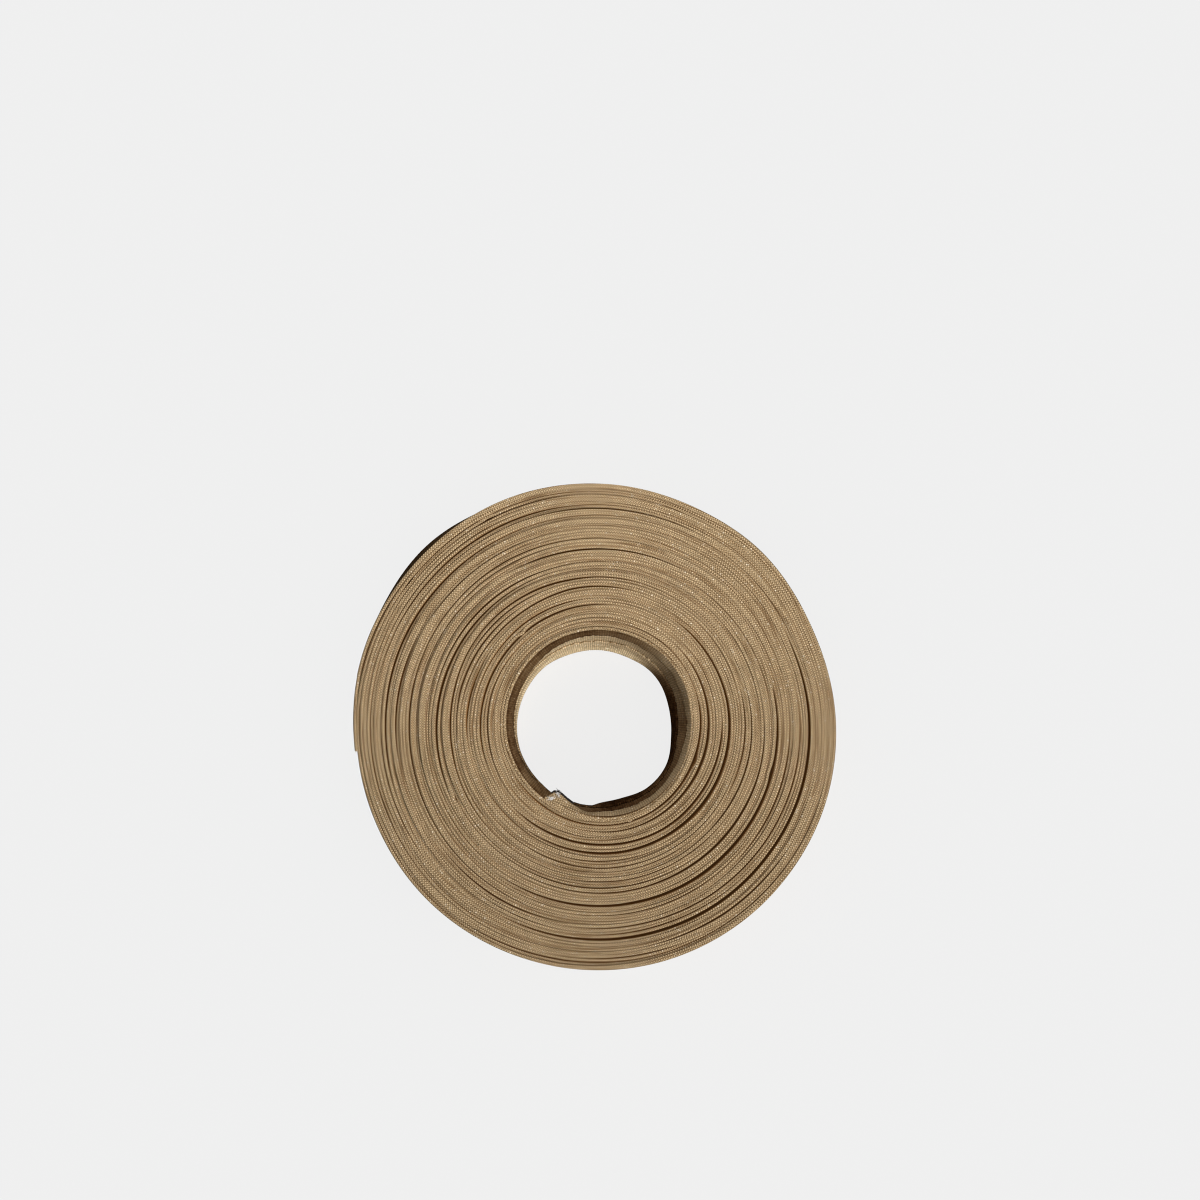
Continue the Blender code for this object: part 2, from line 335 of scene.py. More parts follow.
gridTop = winding["tapeWidth"] - np.abs(edges["bandDrop"] * ripples(gridTurn, waves["bands"]))
gridTop -= np.abs(edges["turnDrop"] * ripples(gridTurn, waves["turns"])) - gridLift
gridGroup = np.clip(ripples(gridTurn, waves["groups"]) * edges["groupGain"], -1.0, 1.0)
gridPlump = np.clip(ripples(gridTurn, waves["plump"]) * edges["plumpGain"], -1.0, 1.0)
gridTop += edges["groupRise"] * (gridGroup - 1.0) + edges["plumpRise"] * (gridPlump - 1.0)
gridBottom = np.abs(edges["backRise"] * ripples(gridTurn, waves["back"]))
gridLength = np.concatenate([[0.0], np.cumsum(gridRadius[1:] * 2 * pi / perTurn)]) + winding["weaveStart"]
print("winding laid out: %.2f m of tape" % ((gridLength[-1] - gridLength[0]) / 1000.0))


def onGrid(values, turn):
    return np.interp(turn, gridTurn, values)


def leanAt(turn, height):
    low, lower, upper, front = wallLean["heights"]
    columns = [around(wallLean, name, angleAt(turn)) for name in ("back", "lower", "upper")]
    share = [np.clip((height - start) / (end - start), 0.0, 1.0)
             for start, end in ((low, lower), (lower, upper), (upper, front))]
    lean = columns[0] + (columns[1] - columns[0]) * share[0] + (columns[2] - columns[1]) * share[1]
    lean = lean * (1.0 - share[2])
    intoTheRoll = np.maximum(onGrid(gridRadius, turn) - wallLean["fullWithin"], 0.0)
    return lean * np.exp(-intoTheRoll / wallLean["reach"])


def flareAt(turn, height):
    out = 0.0
    for flare in flares:
        away = degreesFrom(angleAt(turn), flare["angle"])
        out = out + flare["out"] * np.exp(-(away / flare["spread"]) ** 2)
    out = out * np.exp(-(winding["turns"] - turn - 0.5) / flareShape["overTurns"])
    return out * np.clip(1.0 - height / winding["tapeWidth"], 0.0, 1.0) ** flareShape["curve"]


def placeOnTape(turn, across, height, leaning=1.0):
    # metres from turns along the tape, millimetres out from its middle, and millimetres up
    turn, across, height = np.broadcast_arrays(turn, across, height)
    radius = onGrid(gridRadius, turn) + across + leaning * leanAt(turn, height) + flareAt(turn, height)
    angle = np.radians(angleAt(turn))
    x = winding["centreX"] + radius * np.cos(angle)
    y = winding["centreY"] + radius * np.sin(angle)
    return np.stack([x, y, height], axis=-1) * 0.001


def sweptMesh(name, points, lengths, acrossAt, grooveShade, paintedShading):
    # Skins rings of points [station, place in the ring], with an end cap on each end. The weave's map
    # is in millimetres. The second map holds painted shade: how deep a point lies between two turns, and
    # how much painted shade the cloth has there from the bore and the flare (painted light below nought).
    closing = 0.2               # from the ring's last point round to its first, on the weave's map
    stations, ring = points.shape[:2]
    first = np.arange(stations - 1)[:, None] * ring
    here = np.arange(ring)[None, :]
    after = (here + 1) % ring
    quads = np.stack([first + here, first + ring + here, first + ring + after, first + after], axis=-1)
    quads = quads.reshape(-1, 4)
    corners = quads.reshape(-1)
    starts = np.arange(len(quads)) * 4
    sizes = np.full(len(quads), 4)
    acrossClosed = np.concatenate([acrossAt, acrossAt[:, -1:] + closing], axis=1)
    mapAlong = np.stack([lengths[:-1], lengths[1:], lengths[1:], lengths[:-1]], axis=-1)
    if mapAlong.ndim == 2:
        mapAlong = np.repeat(mapAlong[:, None, :], ring, axis=1)
    mapAcross = np.stack([acrossClosed[:-1, :-1], acrossClosed[1:, :-1], acrossClosed[1:, 1:],
                          acrossClosed[:-1, 1:]], axis=-1)
    weaveMap = np.stack([mapAlong, mapAcross], axis=-1).reshape(-1, 2)
    caps = [np.arange(ring)[::-1], np.arange(ring) + (stations - 1) * ring]
    capMap = [np.stack([np.full(ring, lengths[0].mean()), acrossAt[0][::-1]], axis=-1),
              np.stack([np.full(ring, lengths[-1].mean()), acrossAt[-1]], axis=-1)]
    starts = np.concatenate([starts, [len(corners), len(corners) + ring]])
    sizes = np.concatenate([sizes, [ring, ring]])
    corners = np.concatenate([corners, caps[0], caps[1]])
    weaveMap = np.concatenate([weaveMap] + capMap)
    toneMap = np.stack([grooveShade.reshape(-1)[corners], paintedShading.reshape(-1)[corners]], axis=-1)
    mesh = bpy.data.meshes.new(name)
    mesh.vertices.add(stations * ring)
    mesh.vertices.foreach_set("co", points.reshape(-1).astype(np.float32))
    mesh.loops.add(len(corners))
    mesh.loops.foreach_set("vertex_index", corners.astype(np.int32))
    mesh.polygons.add(len(starts))
    mesh.polygons.foreach_set("loop_start", starts.astype(np.int32))
    mesh.polygons.foreach_set("loop_total", sizes.astype(np.int32))
    mesh.update(calc_edges=True)
    mesh.validate()
    for mapName, values in (("weave", weaveMap), ("tone", toneMap)):
        layer = mesh.uv_layers.new(name=mapName)
        layer.data.foreach_set("uv", values.reshape(-1).astype(np.float32))
    mesh.shade_smooth()
    return mesh


def addPiece(name, mesh, material, *nodes):
    mesh.materials.append(material)
    piece = bpy.data.objects.new(name, mesh)
    bpy.context.scene.collection.objects.link(piece)
    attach(piece, "root")
    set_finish(piece, "binding_cloth")
    if nodes:
        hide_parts(*nodes)
    return piece


class Wire:
    # one socket of a material, so that shader maths reads as sums
    def __init__(self, socket):
        self.socket = socket
        self.tree = socket.id_data

    def __add__(self, other):
        return maths(self.tree, "ADD", self, other)

    def __radd__(self, other):
        return maths(self.tree, "ADD", other, self)

    def __sub__(self, other):
        return maths(self.tree, "SUBTRACT", self, other)

    def __rsub__(self, other):
        return maths(self.tree, "SUBTRACT", other, self)

    def __mul__(self, other):
        return maths(self.tree, "MULTIPLY", self, other)

    def __rmul__(self, other):
        return maths(self.tree, "MULTIPLY", other, self)

    def __pow__(self, other):
        return maths(self.tree, "POWER", self, other)

    def __rpow__(self, other):
        return maths(self.tree, "POWER", other, self)


def addNode(tree, kind, settings, inputs, output=0):
    # settings are set first, as a blend's data type changes its sockets
    node = tree.nodes.new(kind)
    for name, value in settings.items():
        setattr(node, name, value)
    for name, value in inputs.items():
        if isinstance(name, int):
            socket = node.inputs[name]
        else:
            socket = next(s for s in node.inputs if name in (s.identifier, s.name) and s.enabled)
        if isinstance(value, Wire):
            tree.links.new(value.socket, socket)
        else:
            socket.default_value = value
    if isinstance(output, int):
        return Wire(node.outputs[output])
    return Wire(next(s for s in node.outputs if output in (s.identifier, s.name) and s.enabled))


def maths(tree, operation, *values):
    return addNode(tree, "ShaderNodeMath", {"operation": operation}, dict(enumerate(values)))


def smoothly(value, start, end, low=0.0, high=1.0):
    # eases from low to high as the value goes from start to end
    inputs = {"Value": value, "From Min": start, "From Max": end, "To Min": low, "To Max": high}
    return addNode(value.tree, "ShaderNodeMapRange", {"interpolation_type": "SMOOTHSTEP"}, inputs)


def blendColours(factor, first, second, mode="MIX"):
    settings = {"data_type": "RGBA", "blend_type": mode, "clamp_factor": True}
    inputs = {"Factor_Float": factor, "A_Color": first, "B_Color": second}
    return addNode(factor.tree, "ShaderNodeMix", settings, inputs, "Result_Color")


def readMap(tree, mapName):
    # a map's place as a vector, and its two numbers
    place = addNode(tree, "ShaderNodeUVMap", {"uv_map": mapName}, {}, "UV")
    pair = [addNode(tree, "ShaderNodeSeparateXYZ", {}, {"Vector": place}, axis) for axis in ("X", "Y")]
    return place, *pair


def varied(amount, by):
    # 1, give or take half the amount
    return (1.0 - amount / 2.0) + amount * by


cloth = {
    "yarnPitch": 0.318,         # between neighbouring yarns; the cloth is cut on the bias
    "wander": {"Scale": 0.25, "Detail": 2.0, "Roughness": 0.5},     # how crookedly the yarns run
    "wanderBy": 0.8,            # and how far, in yarns
    "yarnCrown": 0.6,           # below 1, a yarn is flatter than round
    "yarnDip": 0.6,             # how far it goes down between its crossings
    "yarn": (0.486, 0.361, 0.219, 1.0),
    "yarnGlint": (0.66, 0.55, 0.40, 1.0),
    "gap": (0.145, 0.078, 0.019, 1.0),
    "gapNarrowness": 1.15,
    "shade": 1.055,
    "glinting": 0.03,           # share of the crossings that get a painted glint,
    "fullGlint": 0.3,           # and share of those that get it fully
    "yarnTone": 0.10,           # how much the tone varies from yarn to yarn,
    "stretchTone": 0.24,        # along the tape,
    "overTone": 0.16,           # between the two ways of the weave,
    "ribTone": 0.13,            # in ribs across the tape,
    "mottleTone": 0.32,         # in blotches,
    "crossingTone": 0.14,       # and from crossing to crossing
    "weftShift": 0.37,          # sets the weft's chances apart from the warp's
    "stretchScale": 0.035,
    "stretch": {"Detail": 3.0, "Roughness": 0.6},
    "mottle": {"Scale": 0.9, "Detail": 4.0, "Roughness": 0.65},
    "shadeWeight": (0.35, 0.65, 0.75, 1.2),      # blotches that take the painted shade less or more
    "creaseScale": (0.09, 4.5, 0.0),        # fine creases along the tape, darkened as painted shade
    "creases": {"Scale": 1.0, "Detail": 2.0, "Roughness": 0.5},
    "creased": (0.56, 0.70),
    "creaseShade": 0.30,
    "paintedShading": (0.20, 0.135, 0.088),          # tint of the painted shade
    "paintedLight": (2.9, 3.4, 3.9),               # how much lighter than the rest painted light makes it
    "grooveShade": (0.72, 0.46, 0.21, 1.0),      # painted shade: the tint of the cloth deep between turns,
    "paintedGlow": (0.022, 0.0108, 0.0034, 1.0),    # and a painted glow there, as if a little light came through the cloth
    "bumpDepth": 0.00008,       # in metres
    "roughness": 0.92,
    "specular": 0.05,
}


def clothMaterial(name):
    material = bpy.data.materials.new(name)
    material.use_nodes = True
    tree = material.node_tree
    shader = tree.nodes["Principled BSDF"]
    place, along, across = readMap(tree, "weave")
    _, grooveShade, paintedShading = readMap(tree, "tone")

    def noise(dimensions, inputs):
        return addNode(tree, "ShaderNodeTexNoise", {"noise_dimensions": dimensions}, inputs, "Fac")

    def chance(dimensions, inputs):
        return addNode(tree, "ShaderNodeTexWhiteNoise", {"noise_dimensions": dimensions}, inputs, "Value")

    wander = (noise("2D", {"Vector": place, **cloth["wander"]}) - 0.5) * cloth["wanderBy"]
    perYarn = 1.0 / (sqrt(2.0) * cloth["yarnPitch"])
    warp = (along + across) * perYarn + wander
    weft = (along - across) * perYarn - wander
    warpIndex = maths(tree, "FLOOR", warp)
    weftIndex = maths(tree, "FLOOR", weft)
    warpRound = 1.0 - ((warp - warpIndex) * 2.0 - 1.0) ** 2.0
    weftRound = 1.0 - ((weft - weftIndex) * 2.0 - 1.0) ** 2.0
    weftOver = maths(tree, "FLOORED_MODULO", warpIndex + weftIndex, 2.0)
    dip = cloth["yarnDip"]
    warpHeight = (warpRound ** cloth["yarnCrown"]) * ((1.0 - dip) + dip * weftRound)
    weftHeight = (weftRound ** cloth["yarnCrown"]) * ((1.0 - dip) + dip * warpRound)
    height = warpHeight * (1.0 - weftOver) + weftHeight * weftOver

    cell = addNode(tree, "ShaderNodeCombineXYZ", {}, {"X": warpIndex, "Y": weftIndex}, "Vector")
    cellChance = chance("2D", {"Vector": cell})
    warpChance = chance("1D", {"W": warpIndex})
    weftChance = chance("1D", {"W": weftIndex + cloth["weftShift"]})
    stretch = noise("1D", {"W": along * cloth["stretchScale"], **cloth["stretch"]})
    mottle = noise("2D", {"Vector": place, **cloth["mottle"]})
    rib = maths(tree, "COSINE", along * (2 * pi * perYarn))
    yarnTone = cloth["yarnTone"]
    tone = (1.0 - yarnTone) + yarnTone * warpChance + yarnTone * weftChance
    tone = tone * varied(cloth["stretchTone"], stretch)
    tone = tone * varied(-cloth["overTone"], weftOver) * (1.0 - cloth["ribTone"] * rib)
    tone = tone * varied(cloth["mottleTone"], mottle) * varied(cloth["crossingTone"], cellChance)
    tone = tone * cloth["shade"]

    scratchy = addNode(tree, "ShaderNodeVectorMath", {"operation": "MULTIPLY"},
                       {0: place, 1: cloth["creaseScale"]})
    crease = smoothly(noise("2D", {"Vector": scratchy, **cloth["creases"]}), *cloth["creased"])
    # painted shade and painted light, in blotches, and painted shade along the creases
    shadeBlotches = smoothly(mottle, *cloth["shadeWeight"])
    deeperShade = maths(tree, "MAXIMUM", paintedShading * shadeBlotches, 0.0) + cloth["creaseShade"] * crease
    paintedLight = maths(tree, "MAXIMUM", 0.0 - paintedShading, 0.0)
    tinted = [tone * (1.0 + lighter * paintedLight) * darker ** deeperShade
              for darker, lighter in zip(cloth["paintedShading"], cloth["paintedLight"])]
    tint = addNode(tree, "ShaderNodeCombineColor", {}, dict(zip(("Red", "Green", "Blue"), tinted)), "Color")

    # random pale crossings: painted glints on the yarns
    glinting = cloth["glinting"]
    glint = smoothly(cellChance, 1.0 - glinting, 1.0 - cloth["fullGlint"] * glinting)
    yarn = blendColours(glint, cloth["yarn"], cloth["yarnGlint"])
    colour = blendColours(height ** cloth["gapNarrowness"], cloth["gap"], yarn)
    colour = addNode(tree, "ShaderNodeVectorMath", {"operation": "MULTIPLY"}, {0: colour, 1: tint})
    # painted shade deep between turns, and a faint painted glow there
    colour = blendColours(grooveShade, colour, cloth["grooveShade"], "MULTIPLY")
    paintedGlow = blendColours(grooveShade, (0.0, 0.0, 0.0, 1.0), cloth["paintedGlow"])
    bump = addNode(tree, "ShaderNodeBump", {},
                   {"Strength": 1.0, "Distance": cloth["bumpDepth"], "Height": height}, "Normal")
    tree.links.new(colour.socket, shader.inputs["Base Color"])
    tree.links.new(bump.socket, shader.inputs["Normal"])
    # the painted glow goes out as emission, though the cloth is no lamp
    tree.links.new(paintedGlow.socket, shader.inputs["Emission Color"])
    shader.inputs["Emission Strength"].default_value = 1.0
    shader.inputs["Roughness"].default_value = cloth["roughness"]
    shader.inputs["Specular IOR Level"].default_value = cloth["specular"]
    material.cycles.emission_sampling = "NONE"
    return material


tapeCloth = clothMaterial("tape_cloth")
print("cloth mixed")


packed = {
    "mergedCap": 0.07,          # height of a merged fold's rounding, a pinched one's and a plump one's
    "lowCap": 0.24,
    "plumpCap": 0.40,
    "capSquareness": 0.9,
    "frontSteps": 9,            # points over the front fold and over the back fold
    "backSteps": 5,
    "shoulder": 0.9,            # a plump fold is as narrow as the others this far down
    "upperLevel": 6.0,          # heights of the points down its sides
    "lowerLevel": 2.5,
    "frontDark": (0.05, 0.36),  # how far below the front fold the painted shade between turns begins, and over how much
    "backDark": (0.08, 0.42),   # and above the back fold
    "outermost": 1.01,          # turns before the tape's end whose outside shows
    "pieces": 4,
    "from": 1.0,
    "to": winding["turns"] - 0.05,
}


def packedTurns(name, start, end):
    # wound turns whose layers are pressed together: a closed band with a rounded fold at each edge
    turn = gridTurn[(gridTurn >= start - 1e-9) & (gridTurn <= end + 1e-9)]
    inside, outside = onGrid(roomInside, turn), onGrid(roomOutside, turn)
    top, bottom = onGrid(gridTop, turn), onGrid(gridBottom, turn)
    plump = np.maximum(onGrid(gridPlump, turn), 0.0)
    spreadOut = 1.0 + edges["plumpSpread"] * plump * (1.0 - onGrid(openOutside, turn))
    spreadIn = 1.0 + edges["plumpSpread"] * plump * (1.0 - onGrid(openInside, turn))
    merged = eased(onGrid(gridGroup, turn) * edges["mergeGain"])
    rounding = packed["lowCap"] + (packed["plumpCap"] - packed["lowCap"]) * plump
    rounding = rounding + (packed["mergedCap"] - rounding) * merged
    across, height = [], []

    def addPoint(sideways, up):
        across.append(sideways + 0.0 * turn)
        height.append(up + 0.0 * turn)

    def cap(edge, direction, steps, rounding, inner, outer):
        for step in range(steps):
            swing = pi * step / (steps - 1)
            sideways = -direction * np.sign(np.cos(swing)) * abs(np.cos(swing)) ** packed["capSquareness"]
            rise = rounding * (sin(swing) ** packed["capSquareness"] - 1.0)
            addPoint((outer - inner) / 2.0 + sideways * (outer + inner) / 2.0, edge + direction * rise)

    addPoint(-inside, packed["upperLevel"])
    addPoint(-inside, top - packed["shoulder"])
    cap(top, 1.0, packed["frontSteps"], rounding, inside * spreadIn, outside * spreadOut)
    addPoint(outside, top - packed["shoulder"])
    addPoint(outside, packed["upperLevel"])
    addPoint(outside, packed["lowerLevel"])
    cap(bottom, -1.0, packed["backSteps"], packed["plumpCap"], inside, outside)
    addPoint(-inside, packed["lowerLevel"])
    across, height = np.stack(across, axis=1), np.stack(height, axis=1)
    points = placeOnTape(turn[:, None], across, height)
    steps = np.hypot(np.diff(across, axis=1), np.diff(height, axis=1))
    acrossAt = np.concatenate([np.zeros((len(turn), 1)), np.cumsum(steps, axis=1)], axis=1)

    # painted shade between its neighbours, but not on the outside of the last turn
    darkFrom, darkOver = packed["frontDark"]
    grooveShade = np.clip((top[:, None] - height - darkFrom) / darkOver, 0.0, 1.0)
    darkFrom, darkOver = packed["backDark"]
    grooveShade = np.minimum(grooveShade, np.clip((height - bottom[:, None] - darkFrom) / darkOver, 0.0, 1.0))
    onOutside = (turn > winding["turns"] - packed["outermost"])[:, None] & (across > 0.0)
    grooveShade = np.where(onOutside, 0.0, grooveShade)
    # painted shade on the outside of the first flare, below a height
    away = degreesFrom(angleAt(turn), flares[0]["angle"])[:, None]
    shaded = np.where(onOutside & (height < flareShade["below"]), flareShade["paintedShading"], 0.0)
    paintedShading = np.exp(-(away / flareShade["spread"]) ** 2) * shaded
    return sweptMesh(name, points, onGrid(gridLength, turn), acrossAt, grooveShade, paintedShading)


cuts = np.linspace(packed["from"], packed["to"], packed["pieces"] + 1)
cuts = np.round(cuts * perTurn) / perTurn
for number, (start, end) in enumerate(zip(cuts[:-1], cuts[1:])):
    addPiece("wound_turns_%d" % (number + 1), packedTurns("wound_turns", start, end), tapeCloth, "roll")
print("packed turns wound")


folded = {
    "clothThickness": 0.23,
    "halfWidth": 0.145,         # from the middle of the folded tape to the middle of each layer
    "frontFlap": 3.6,
    "backFlap": 3.4,
    "ragged": 0.144,            # how unevenly the raw edges are cut,
    "raggedOpen": 0.2,          # and the share of that on a flap that is open
    "openAt": 30.0,             # a flap at this angle counts as open,
    "freeAt": 18.0,             # from this one it no longer follows the wall's lean,
    "roundAt": 45.0,            # and at this one its fold is roundest
    "roundBy": 0.25,            # how much the fold's radius has grown by then
    "bow": 0.10,                # how far the flap bows
    "stationsPerTurn": 720,
}


def foldedTape(name, seed, turnAt, top, bottom, opening, reach, spill, standOff=0.0, shadeWeight=1.0):
    # A folded strip of real cloth. turnAt(depth) gives each station's place on the tape for a point
    # that lies that far below the front fold. The front flap springs up by the angle opening and is
    # reach long, spill is how far the fold bulges over the next turn, and standOff moves it all out.
    # The last argument is 1 for a strip that takes the bore's painted light and shade, and 0 for one that
    # takes none.
    stations = len(opening)
    half = folded["halfWidth"]
    thickness = folded["clothThickness"]
    margin = 20                 # keeps the smoothing's ends off the strip
    draw = np.random.default_rng(seed)
    edgeNoise = draw.normal(0.0, 1.0, (2, stations + 2 * margin))
    smooth = np.exp(-np.linspace(-2.2, 2.2, 9) ** 2)
    smooth /= sqrt((smooth ** 2).sum())
    edgeNoise = np.array([np.convolve(row, smooth, "same")[margin:-margin] for row in edgeNoise])
    tidied = (1.0 - folded["raggedOpen"]) * eased(opening / folded["openAt"])
    frontFlap = reach * (1.0 + folded["ragged"] * (1.0 - tidied) * edgeNoise[0] / folded["frontFlap"])
    backFlap = folded["backFlap"] + folded["ragged"] * edgeNoise[1]
    foldRadius = half + folded["roundBy"] * eased(opening / folded["roundAt"])
    flapLeans = 1.0 - eased(opening / folded["freeAt"])
    tilt = np.radians(opening)
    angle = angleAt(turnAt(np.full((stations, 1), 1.0)))[:, 0]
    # the bore's painted light and shade at each station, by band
    tone = {band: np.interp(angle, boreShading["angle"], boreShading[band], period=360.0)
            for band in ("flap", "bare", "back", "half", "crease")}
    # a painted shadow along the fold of a flap with much painted shade
    flapEdge = boreShading["flapEdge"] * (tone["flap"] > boreShading["edgeFrom"])
    path = []

    def addPoint(across, height, depth, leans=1.0, paintedShading=0.0):
        path.append([value + 0.0 * top for value in (across, height, depth, leans, shadeWeight * paintedShading)])

    # from the front flap's raw edge up to its fold,
    sweep = pi - tilt
    archX, archZ = half - foldRadius, top - thickness / 2.0 - foldRadius
    endX, endZ = archX + foldRadius * np.cos(sweep), archZ + foldRadius * np.sin(sweep)
    for share in (1.0, 0.86, 0.6, 0.3, 0.14, 0.05):
        along = frontFlap * share
        bow = folded["bow"] * sin(pi * share)
        addPoint(endX - along * np.sin(tilt) - bow, endZ - along * np.cos(tilt), along, flapLeans,
                 (tone["flap"] + flapEdge * (share < 0.2)) * flapLeans + tone["crease"] * (share < 0.1))
    # over the fold,
    for share in (1.0, 0.84, 0.67, 0.5, 0.33, 0.16, 0.0):
        swing = sweep * share
        out = spill * eased((0.75 - share) / 0.5)
        addPoint(archX + foldRadius * np.cos(swing) + out, archZ + foldRadius * np.sin(swing), 0.0, 1.0,
                 tone["crease"] * (share > 0.8))
    # down the bare cloth to the back,
    floorZ = bottom + thickness / 2.0 + half
    for share in (0.03, 0.12, 0.25, 0.4, 0.55, 0.7, 0.83, 0.95):
        level = archZ + (floorZ - archZ) * share
        addPoint(half, level, top - level, 1.0, tone["bare"])
    # round the back fold, and up the back flap
    for share in (0.0, 0.25, 0.5, 0.75, 1.0):
        swing = -pi * share
        addPoint(half * np.cos(swing), floorZ + half * np.sin(swing), winding["tapeWidth"], 1.0,
                 tone["back"])
    for share in (0.1, 0.3, 0.45, 0.6, 0.8, 1.0):
        along = backFlap * share
        addPoint(-half, floorZ + along, winding["tapeWidth"] - along, 1.0,
                 tone["back"] + (tone["bare"] - tone["back"]) * tone["half"] * eased((share - 0.3) / 0.4))

    path = np.moveaxis(np.array(path), 2, 0)
    ahead = np.gradient(path[..., :2], axis=1)
    ahead /= np.linalg.norm(ahead, axis=2, keepdims=True)
    sideways = np.stack([ahead[..., 1], -ahead[..., 0]], axis=-1) * thickness / 2.0
    sideways = np.concatenate([sideways, -sideways[:, ::-1]], axis=1)
    ring = np.concatenate([path, path[:, ::-1]], axis=1)
    across = ring[..., 0] + sideways[..., 0]
    height = ring[..., 1] + sideways[..., 1]
    turn = turnAt(ring[..., 2])
    steps = np.linalg.norm(np.diff(path[..., :2], axis=1), axis=2)
    steps = np.concatenate([np.zeros((stations, 1)), np.cumsum(steps, axis=1)], axis=1)
    acrossAt = np.concatenate([steps, steps[:, ::-1]], axis=1)
    standOff = np.broadcast_to(standOff, stations)[:, None]
    points = placeOnTape(turn, across + standOff, height, ring[..., 3])
    return sweptMesh(name, points, onGrid(gridLength, turn), acrossAt, 0.0 * turn, ring[..., 4])


def cutSquare(turn):
    # a strip whose every depth has the same places on the tape
    return lambda depth: turn[:, None] + 0.0 * depth


firstTurn = {
    "seed": 812,
    "turns": 1.03,
    "opening": 2.0,             # the free flap stands a few degrees off the wall,
    "moreOpening": 3.0,         # more in some places than in others
    "opensFrom": -0.02,
    "sinksFrom": 0.80,          # the turn sinks where the loose end spills over it
    "easedOver": 1.0 / 12.0,    # turns over which each of these begins
}
innerEnd = {
    "seed": 235,
    "foldTip": 236.0,           # the cut starts here at the front fold
    "backTip": 264.0,           # and ends here at the back fold
    "cutNoise": 0.35,           # in degrees, at the cut itself,
    "cutFade": 8,               # and the power with which it dies out towards the root
    "cutSeed": 5,
    "stations": 130,
    "angle": [241, 245.6, 250, 254.6, 258.8, 262.6, 267.6, 272.7, 284],
    "opening": [70.0, 66.0, 58.0, 48.0, 38.0, 25.0, 12.0, 5.0, 2.0],    # of the front flap
    "reach": [1.55, 1.82, 1.62, 1.35, 1.15, 1.25, 1.85, 2.6, 3.6],      # of the front flap
    "spill": 0.60,
    "rise": 0.16,               # above the turn that it spills over, which sinks as far
    "fullBy": 0.5,              # share of its length by which it has its whole spill and rise
    "flat": (0.0135, 0.019),    # the strip's extents before folding, and its area, as it is cut aslant
    "area": 0.00018,
}
outerEnd = {"seed": 123, "turns": 0.055, "stations": 60, "opening": 1.0, "drawnIn": 0.22}

turn = np.linspace(0.0, firstTurn["turns"], round(firstTurn["turns"] * folded["stationsPerTurn"]))
sunk = eased((turn - firstTurn["sinksFrom"]) / firstTurn["easedOver"]) * innerEnd["rise"]
opened = eased((turn - firstTurn["opensFrom"]) / firstTurn["easedOver"])
opened = opened * firstTurn["moreOpening"] * np.abs(ripples(turn, waves["flap"]))
mesh = foldedTape("first_turn", firstTurn["seed"], cutSquare(turn),
                  top=onGrid(gridTop, turn) - sunk, bottom=onGrid(gridBottom, turn),
                  opening=firstTurn["opening"] + opened, reach=folded["frontFlap"] + 0.0 * turn,
                  spill=0.0 * turn)
addPiece("first_turn", mesh, tapeCloth, "roll")


def innerEndTurn(depth):
    # the cut runs aslant and a little roughly, so each depth has its own last place on the tape
    share = np.linspace(0.0, 1.0, depth.shape[0])[:, None]
    cut = innerEnd["foldTip"] + (innerEnd["backTip"] - innerEnd["foldTip"]) * depth / winding["tapeWidth"]
    rough = np.random.default_rng(innerEnd["cutSeed"]).normal(0.0, innerEnd["cutNoise"], depth.shape[1])
    cut = cut + rough * share ** innerEnd["cutFade"]
    angle = winding["rootAngle"] + (cut - winding["rootAngle"]) * share
    return (angle - winding["rootAngle"]) / 360.0


share = np.linspace(0.0, 1.0, innerEnd["stations"])
turn = (innerEnd["foldTip"] - winding["rootAngle"]) / 360.0 * share
flapAngle = winding["rootAngle"] - (winding["rootAngle"] - innerEnd["angle"][0]) * share
grown = eased(share / innerEnd["fullBy"])
mesh = foldedTape("loose_inner_end", innerEnd["seed"], innerEndTurn,
                  top=onGrid(gridTop, turn) + innerEnd["rise"] * grown, bottom=onGrid(gridBottom, turn),
                  opening=np.interp(flapAngle, innerEnd["angle"], innerEnd["opening"]),
                  reach=np.interp(flapAngle, innerEnd["angle"], innerEnd["reach"]),
                  spill=innerEnd["spill"] * grown)
looseEnd = addPiece("loose_inner_end", mesh, tapeCloth, "inner_end")

turn = np.linspace(winding["turns"] - outerEnd["turns"], winding["turns"], outerEnd["stations"])
mesh = foldedTape("outer_end", outerEnd["seed"], cutSquare(turn),
                  top=onGrid(gridTop, turn), bottom=onGrid(gridBottom, turn),
                  opening=0.0 * turn + outerEnd["opening"], reach=folded["frontFlap"] + 0.0 * turn,
                  spill=0.0 * turn, shadeWeight=0.0,
                  standOff=-outerEnd["drawnIn"] * eased((turn - turn[0]) / (turn[-1] - turn[0])))
addPiece("outer_end", mesh, tapeCloth, "roll")
print("folded ends made")


def plainMaterial(name, colour, roughness):
    material = bpy.data.materials.new(name)
    material.use_nodes = True
    shader = material.node_tree.nodes["Principled BSDF"]
    shader.inputs["Base Color"].default_value = colour
    shader.inputs["Roughness"].default_value = roughness
    return material


# The bias-cut end frays into two pale tufts.
fibre = {
    "rings": 6,
    "sides": 3,
    "shortest": 0.5,            # share of the longest one's length
    "taper": 0.6,               # how much thinner it gets towards its tip
    "colour": (0.84, 0.81, 0.77, 1.0),
    "roughness": 0.8,
}
tufts = {
    "frayed_tip": {"at": (-5.98, -11.72, 11.75), "towards": (-0.8, 0.35, 0.4), "spread": (0.10, 0.20, 0.08),
                   "count": 36, "length": 0.55, "thickness": 0.075, "unruly": 0.4, "seed": 3},
    "frayed_corner": {"at": (-7.05, -12.35, 11.85), "towards": (-0.9, 0.2, 0.4),
                      "spread": (0.20, 0.10, 0.06), "count": 44, "length": 0.65, "thickness": 0.075,
                      "unruly": 0.4, "seed": 8},
}


